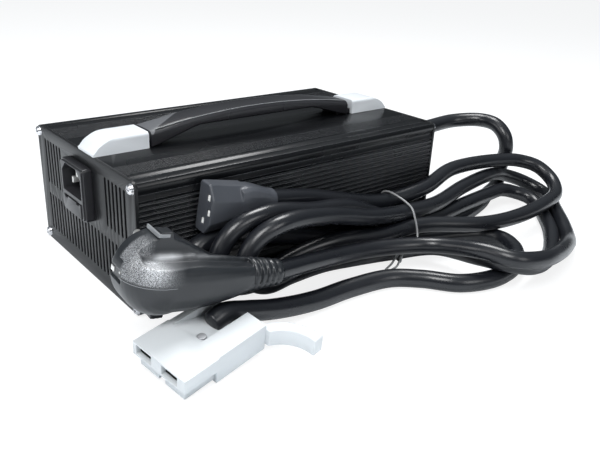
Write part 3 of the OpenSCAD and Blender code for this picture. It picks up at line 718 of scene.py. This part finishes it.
class CHARGER_OT_handle(bpy.types.Operator):
    """The arched grip, its two light caps and the screws under them"""

    bl_idname = "charger.handle"
    bl_label = "Handle"

    # The strap as packed: where it starts along the case, its length and its sections.
    START, LENGTH, SECTIONS = -80.5, 158.0, 28
    # Heights over the case in millimetres: top at the ends and its rise in the middle.
    END_TOP, TOP_RISE = 9.9, 7.1
    # Share of the length that each leg takes, its height, and the underside's rise after it.
    LEG, LEG_TOP, LEG_CURVE, UNDER_RISE = 0.19, 9.0, 1.15, 2.3
    # The dressed strap: rise and fullness of its top, height of its underside.
    FULL_RISE, FULLNESS, FULL_UNDER = 7.0, 0.75, 9.35
    # How far the top of each leg comes down, and from which share of the length.
    LEG_DROP, LEG_DROP_FROM = 0.4, 0.12
    # The cut that bounds the painted reflection on the top at the inlet end: its two ends, from
    # above.
    FACET_CUT = ((-78.5, -17.5, 0), (-49, 3, 0))
    # The faces with the painted reflection look up at least this much and lie at least this high
    # over the case.
    FACET_UP, FACET_LOW = 0.6, 7
    # The painted highlight line along the front edge: its place across the case, how far it is
    # sunk, its radius, the share of the length that it leaves free at each end, and its steps.
    EDGE_Y, EDGE_SUNK, EDGE_RADIUS = -16.3, 0.45, 0.27
    EDGE_FREE, EDGE_STEPS = 0.02, 40

    def execute(self, context):
        strap = merged_copy("handle_strap", "handle_grip")
        self.fuller_arch(strap)
        corner, far = (Vector(end) * MM for end in self.FACET_CUT)
        across = (far - corner).cross(Vector((0, 0, 1))).normalized()
        edit(strap)
        bpy.ops.mesh.select_all(action="SELECT")
        bpy.ops.mesh.bisect(plane_co=corner, plane_no=across)
        close_edit()
        eased(strap, width=0.5, segments=3, above=34.0)
        paint(strap, "grip_black", "strap_painted_reflection")
        # The upward faces before the cut get the painted reflection.
        for face in strap.data.polygons:
            before_cut = (face.center - corner).dot(across) < 0
            high = face.center.z > (CASE_TOP + self.FACET_LOW) * MM
            if before_cut and high and face.normal.z > self.FACET_UP:
                face.material_index = 1
        place_piece(strap, "handle_grip")

        # A light bead along the strap's front top edge: a painted highlight.
        crest = []
        for i in range(self.EDGE_STEPS + 1):
            along = self.EDGE_FREE + (1 - 2 * self.EDGE_FREE) * i / self.EDGE_STEPS
            top, _, lift, _ = self.arch(along)
            height = CASE_TOP + top + lift - self.EDGE_SUNK
            crest.append((self.START + self.LENGTH * along, self.EDGE_Y, height))
        line = bead("strap_edge", crest, self.EDGE_RADIUS, Matrix())
        paint(line, "wear_and_highlight_line")
        place_piece(line, None)

        for name, node in (("handle_cap_inlet_end", "handle_cap_left"),
                           ("handle_cap_output_end", "handle_cap_right")):
            dress(name, node, "cap_grey", width=0.9, segments=4, above=20.0)
        dress("handle_bolts", "handle_screws", "screw_steel", width=0.12)
        return {"FINISHED"}

    def arch(self, along):
        """Packed top and underside at a share of the length, then how far each one moves."""
        near = min(along, 1 - along)
        bow = math.sin(math.pi * along)
        top = self.END_TOP + self.TOP_RISE * bow
        lift = self.END_TOP + self.FULL_RISE * bow ** self.FULLNESS - top
        if near > self.LEG:
            past_leg = (near - self.LEG) / (0.5 - self.LEG)
            under = self.LEG_TOP + self.UNDER_RISE * math.sin(math.pi / 2 * past_leg)
            drop = min(0.0, self.FULL_UNDER - under)
        else:
            under = self.LEG_TOP * (near / self.LEG) ** self.LEG_CURVE
            past_start = max(0.0, near - self.LEG_DROP_FROM) / (self.LEG - self.LEG_DROP_FROM)
            drop = -self.LEG_DROP * past_start
        return top, under, lift, drop

    def fuller_arch(self, strap):
        """Gives the strap fuller shoulders and a thicker middle, section by section."""
        edit(strap)
        mesh = bmesh.from_edit_mesh(strap.data)
        for i in range(1, self.SECTIONS):
            top, under, lift, drop = self.arch(i / self.SECTIONS)
            x = self.START + self.LENGTH * i / self.SECTIONS
            middle = CASE_TOP + (top + under) / 2
            for upper, move in ((True, lift), (False, drop)):
                for point in mesh.verts:
                    here = abs(point.co.x / MM - x) < 1.0
                    point.select = here and (point.co.z / MM > middle) == upper
                mesh.select_flush_mode()
                bmesh.update_edit_mesh(strap.data)
                if move and any(point.select for point in mesh.verts):
                    bpy.ops.transform.translate(value=(0, 0, move * MM))
                    mesh = bmesh.from_edit_mesh(strap.data)
        close_edit()


class CHARGER_OT_output_end(bpy.types.Operator):
    """The gland of the output lead, the lamp, and the fan with its screws"""

    bl_idname = "charger.output_end"
    bl_label = "Output end"

    def execute(self, context):
        dress("lead_gland", "cable_gland", "gland_rubber", width=0.35, segments=3, above=25.0)
        dress("gland_locknut", "gland_nut", "inlet_plastic", width=0.4)
        dress("charge_lamp", "status_led", "led_lens", width=0.1)
        dress("fan_housing", "fan_frame", "fan_plastic", width=0.4)
        dress("fan_blades", "fan_rotor", "fan_plastic", width=0.25, body="rotor")
        dress("fan_bolts", "fan_screws", "screw_black", width=0.12)
        return {"FINISHED"}


class CHARGER_OT_mains_plug(bpy.types.Operator):
    """The moulded plug: its round body, crest, ribbed neck, guide blocks, pins and earth strips"""

    bl_idname = "charger.mains_plug"
    bl_label = "Mains plug"

    # All in millimetres on the plug's own axes: x along the neck, y towards the pins, z across.
    # The cone under the neck's ribs: its ends, its radii, and the height that it is cut at.
    NECK, NECK_RADII, NECK_CUT = ((45.6, -12.3, -0.6), (66, -12.3, 0)), (8.9, 6.7), -2.6
    PARTING_LINE = (
        (-20.45, -6.3, 0), (-20.45, -8, 0), (-19.55, -11.1, 0), (-18.15, -14.1, 0),
        (-16.0, -17.1, 0), (-12.9, -19.8, 0), (-8.8, -21.75, 0), (-4.4, -22.85, 0),
        (1, -22.85, 0), (6, -22.6, 0),
    )
    PARTING_RADIUS = 0.17
    # Bars: two corners, whose axes, and how far their edges are eased.
    EARTH_STRIPS = (
        ((-19.3, 3.4, -1.3), (-18.6, 7.2, 1.3), PLUG, 0.2),
        ((-20.1, -5.6, 1.5), (-19.0, -4.4, 2.7), PLUG, 0.3),
        ((18.3, 2.2, -2.3), (19.1, 7.3, 2.3), PLUG, 0.2),
    )
    # Light bars along the guide block's top edges: wear and a painted highlight.
    BLOCK_WEAR_AND_HIGHLIGHT = (
        ((-4.4, -8.4, 20.0), (-3.4, 5.4, 22.2), PLUG, 0.3),
        ((-4.4, -9.2, 20.2), (1.6, -8.2, 22.0), PLUG, 0.3),
    )

    def execute(self, context):
        body = merged_copy("plug_moulding", "mains_plug")
        under = turned(*self.NECK, *self.NECK_RADII, PLUG)
        edit(under)
        bpy.ops.mesh.select_all(action="SELECT")
        bpy.ops.mesh.bisect(plane_co=PLUG @ Vector((0, 0, self.NECK_CUT * MM)),
                            plane_no=PLUG.to_3x3() @ Vector((0, 0, 1)),
                            clear_outer=True, use_fill=True)
        close_edit()
        body = joined("plug_moulding", [body, under])
        moulded(body, grid=0.42, passes=4)
        self.smooth_body(body)
        self.mask(body)
        paint(body, "plug_grain_and_highlight")
        place_piece(body, "mains_plug")

        # A thin raised seam whose light tone is a painted highlight.
        line = bead("plug_parting_line", self.PARTING_LINE, self.PARTING_RADIUS, PLUG)
        paint(line, "wear_and_highlight_line")
        place_piece(line, None)

        dress("plug_contact_pins", "plug_pins", "contact_metal", width=0.8, segments=4, above=40.0)
        strips = joined("plug_earth_strips", [block(*strip) for strip in self.EARTH_STRIPS])
        paint(strips, "contact_metal")
        place_piece(strips, "earth_clips")

        # The guide block's light top edges: wear and a painted highlight.
        highlight_mark = joined("plug_block_edge", [block(*edge) for edge in self.BLOCK_WEAR_AND_HIGHLIGHT])
        paint(highlight_mark, "wear_and_highlight_line")
        place_piece(highlight_mark, None)
        return {"FINISHED"}

    def smooth_body(self, piece):
        """Rounds the forms of the plug's body further, but not its ribs, block or notch."""
        group = piece.vertex_groups.new(name="soft_forms")
        back = PLUG.inverted()
        for point in piece.data.vertices:
            x, y, z = back @ point.co / MM
            near_block = -5.0 < x < 5.5 and abs(z) > 15.5 and y > -11.0
            near_notch = x < -16.5 and abs(z) < 4.6 and y > -9.0
            if x < 43.0 and y < 5.0 and not near_block and not near_notch:
                group.add([point.index], 1.0, "REPLACE")
        modified(piece, "SMOOTH", factor=0.5, iterations=34, vertex_group="soft_forms")

    def mask(self, piece):
        """Marks where the back of the plug has its coarse grain, and where a painted highlight lies
        on its crest.
        """
        coarse = piece.data.color_attributes.new("coarse", "FLOAT_COLOR", "POINT")
        crest_highlight = piece.data.color_attributes.new("crest_highlight", "FLOAT_COLOR", "POINT")
        back = PLUG.inverted()
        for grit, highlight_mark, point in zip(coarse.data, crest_highlight.data, piece.data.vertices):
            x, y, z = back @ point.co / MM
            # The grain lies on the rim, the dome beside the crest and the shoulder past it.
            over_seam = ramp(z, 0.2, 1.7)
            rim = ramp(x, -12.5, -14.5) * over_seam
            dome = (ramp(z, 11.0, 9.5) * ramp(x, 8.0, -14.0)) ** 1.6 * over_seam
            shoulder = 0.8 * ramp(z, 9.0, 12.0) * ramp(x, -5.0, -10.0)
            if x >= -14.0:
                shoulder *= ramp(y, -11.5, -9.5)
            outside = ramp(y, -4.5, -6.5) if z < 8 else ramp(y, 0.5, -1.5)
            # A painted highlight makes it lightest in one round patch at the foot of the crest.
            patch = math.exp(-((x + 7) ** 2 + (z - 8.8) ** 2) / 34.0)
            glare = 1.6 * patch * ramp(z, 12.5, 11.0) * ramp(y, -8.0, -12.0)
            amount = max(rim, dome, shoulder) * outside * (0.46 + glare)
            grit.color = (amount, amount, amount, 1.0)
            # A painted highlight lies along the top of the crest, most of all at its front.
            top = math.exp(-((z - 11.2) / 1.5) ** 2) * ramp(y, -8.5, -10.0) * ramp(x, -8.0, -3.0)
            streak = top * (0.75 * ramp(x, 9.0, 3.0) + 0.22 * ramp(x, 36.0, 28.0))
            amount = streak + 0.20 * glare * outside
            highlight_mark.color = (amount, amount, amount, 1.0)


class CHARGER_OT_appliance_connector(bpy.types.Operator):
    """The C13 connector at the other end of the mains lead, with its three contacts"""

    bl_idname = "charger.appliance_connector"
    bl_label = "Appliance connector"

    # Where its three openings are on its own axes, in millimetres: across, then up.
    OPENINGS = ((-2.8, 7.2), (0.6, -7.4), (-4.2, -1.2))
    # The contact in each: its two ends, half its width and height, and how far it is eased.
    CONTACT_ENDS, HALF_WIDTH, HALF_HEIGHT, CONTACT_EASE = (0.15, 9), 1.0, 1.7, 0.5

    def execute(self, context):
        body = merged_copy("socket_moulding", "c13_connector")
        moulded(body, grid=0.4, passes=6)
        paint(body, "socket_satin")
        place_piece(body, "c13_connector")
        near, far = self.CONTACT_ENDS
        sleeves = joined("socket_contacts", [
            block((near, y - self.HALF_WIDTH, z - self.HALF_HEIGHT),
                  (far, y + self.HALF_WIDTH, z + self.HALF_HEIGHT), SOCKET, self.CONTACT_EASE)
            for y, z in self.OPENINGS])
        # The contacts' light tone is a painted glint.
        paint(sleeves, "contact_painted_glint")
        place_piece(sleeves, None)
        return {"FINISHED"}


class CHARGER_OT_battery_connector(bpy.types.Operator):
    """The two-pole battery connector with its contacts, screw and curved arm"""

    bl_idname = "charger.battery_connector"
    bl_label = "Battery connector"

    # The two mouths on its own axes, in millimetres: along, up, and each one across. The
    # painted shade starts at a cut a little way in, so that the rims stay light.
    MOUTH_X, MOUTH_Z, MOUTHS_Y = (2.6, 33), (8.7, 15.2), ((4.9, 16.3), (23.1, 34.5))

    def execute(self, context):
        shell = merged_copy("two_pole_housing", "battery_connector")
        edit(shell)
        bpy.ops.mesh.select_all(action="SELECT")
        bpy.ops.mesh.bisect(plane_co=CONNECTOR @ Vector((self.MOUTH_X[0] * MM, 0, 0)),
                            plane_no=CONNECTOR.to_3x3() @ Vector((1, 0, 0)))
        close_edit()
        eased(shell, width=0.5, segments=3, above=25.0)
        paint(shell, "connector_shaded")
        # Faces deep inside the mouths get painted shade.
        back = CONNECTOR.inverted()
        inner = shell.data.color_attributes.new("inner", "FLOAT_COLOR", "CORNER")
        for face in shell.data.polygons:
            x, y, z = back @ face.center / MM
            between = any(low < y < high for low, high in self.MOUTHS_Y)
            deep = self.MOUTH_X[0] < x < self.MOUTH_X[1]
            level = self.MOUTH_Z[0] < z < self.MOUTH_Z[1]
            dark = 1.0 if between and deep and level else 0.0
            for corner in face.loop_indices:
                inner.data[corner].color = (dark, dark, dark, 1.0)
        place_piece(shell, "battery_connector")
        dress("pull_arm", "pull_handle", "connector_shell", width=0.9, segments=4, above=35.0)
        dress("blade_contacts", "connector_contacts", "contact_metal", width=0.4)
        screw = eased(merged_copy("housing_screw", "connector_screw"), width=0.3, segments=3)
        paint(screw, "dull_screw")
        place_piece(screw, "connector_screw")
        return {"FINISHED"}


class CHARGER_OT_leads(bpy.types.Operator):
    """The mains lead, the output lead and the wire tied round them"""

    bl_idname = "charger.leads"
    bl_label = "Leads"

    # In millimetres.
    TIE_RADIUS = 0.7
    # How much of a ball's front half is left at the rounded end of a lead.
    TIP_LENGTH = 0.4

    def execute(self, context):
        look = SCENE.charger_leads
        wire = lead_curve("bundle_tie", smooth_route(TIE_ROUTE, steps=6), self.TIE_RADIUS * MM)
        paint(wire, "tie_coating")
        place_piece(wire, "tie_wire")

        mains, line = self.lay("mains_flex", "mains_lead", MAINS_ROUTE, look.mains_diameter / 2)

        half = look.output_diameter / 2
        output, line = self.lay("output_flex", "dc_lead", OUTPUT_ROUTE, half)
        tip = self.tip("output_flex_end", line, half)
        paint(tip, "lead_jacket")
        place_piece(tip, None)
        return {"FINISHED"}

    def lay(self, name, node, route, half):
        """A lead along its route, nowhere below the floor, and the line of its middle."""
        line = [Vector((p.x, p.y, max(p.z, half))) for p in smooth_route(route)]
        piece = lead_curve(name, line, half)
        paint(piece, "lead_jacket")
        place_piece(piece, node)
        return piece, line

    def tip(self, name, line, half):
        """The rounded end of a lead, where it goes down into its housing."""
        select_none()
        bpy.ops.mesh.primitive_uv_sphere_add(segments=32, ring_count=20, radius=half)
        piece = bpy.context.object
        piece.name = piece.data.name = name
        edit(piece)
        mesh = bmesh.from_edit_mesh(piece.data)
        for point in mesh.verts:
            point.select = point.co.z > 0
        bmesh.update_edit_mesh(piece.data)
        bpy.ops.transform.resize(value=(1, 1, self.TIP_LENGTH), center_override=(0, 0, 0))
        close_edit()
        ahead = (line[-1] - line[-2]).to_track_quat("Z", "Y").to_matrix().to_4x4()
        piece.matrix_world = Matrix.Translation(line[-1]) @ ahead
        fix_place(piece)
        bpy.ops.object.shade_smooth()
        return piece


class CHARGER_PT_panel(bpy.types.Panel):
    """Lists the steps that build the charger"""

    bl_idname = "CHARGER_PT_panel"
    bl_label = "Battery charger"
    bl_space_type = "VIEW_3D"
    bl_region_type = "UI"
    bl_category = "Charger"

    def draw(self, context):
        for settings in (SCENE.charger_finish, SCENE.charger_leads):
            for name in settings.__annotations__:
                self.layout.prop(settings, name)
        for step in STEPS:
            self.layout.operator(step.bl_idname)


# In the order that they run.
STEPS = (
    CHARGER_OT_stage, CHARGER_OT_finishes, CHARGER_OT_shells, CHARGER_OT_end_plates,
    CHARGER_OT_inlet, CHARGER_OT_handle, CHARGER_OT_output_end, CHARGER_OT_mains_plug,
    CHARGER_OT_appliance_connector, CHARGER_OT_battery_connector, CHARGER_OT_leads,
)
SETTINGS = {"charger_finish": ChargerFinish, "charger_leads": ChargerLeads}
CLASSES = (*SETTINGS.values(), *STEPS, CHARGER_PT_panel)


def register():
    for kind in CLASSES:
        bpy.utils.register_class(kind)
    for name, kind in SETTINGS.items():
        setattr(bpy.types.Scene, name, PointerProperty(type=kind))


def unregister():
    for name in SETTINGS:
        delattr(bpy.types.Scene, name)
    for kind in reversed(CLASSES):
        bpy.utils.unregister_class(kind)


def main():
    register()
    for step in STEPS:
        group, name = step.bl_idname.split(".")
        getattr(getattr(bpy.ops, group), name)()


if __name__ == "__main__":
    main()
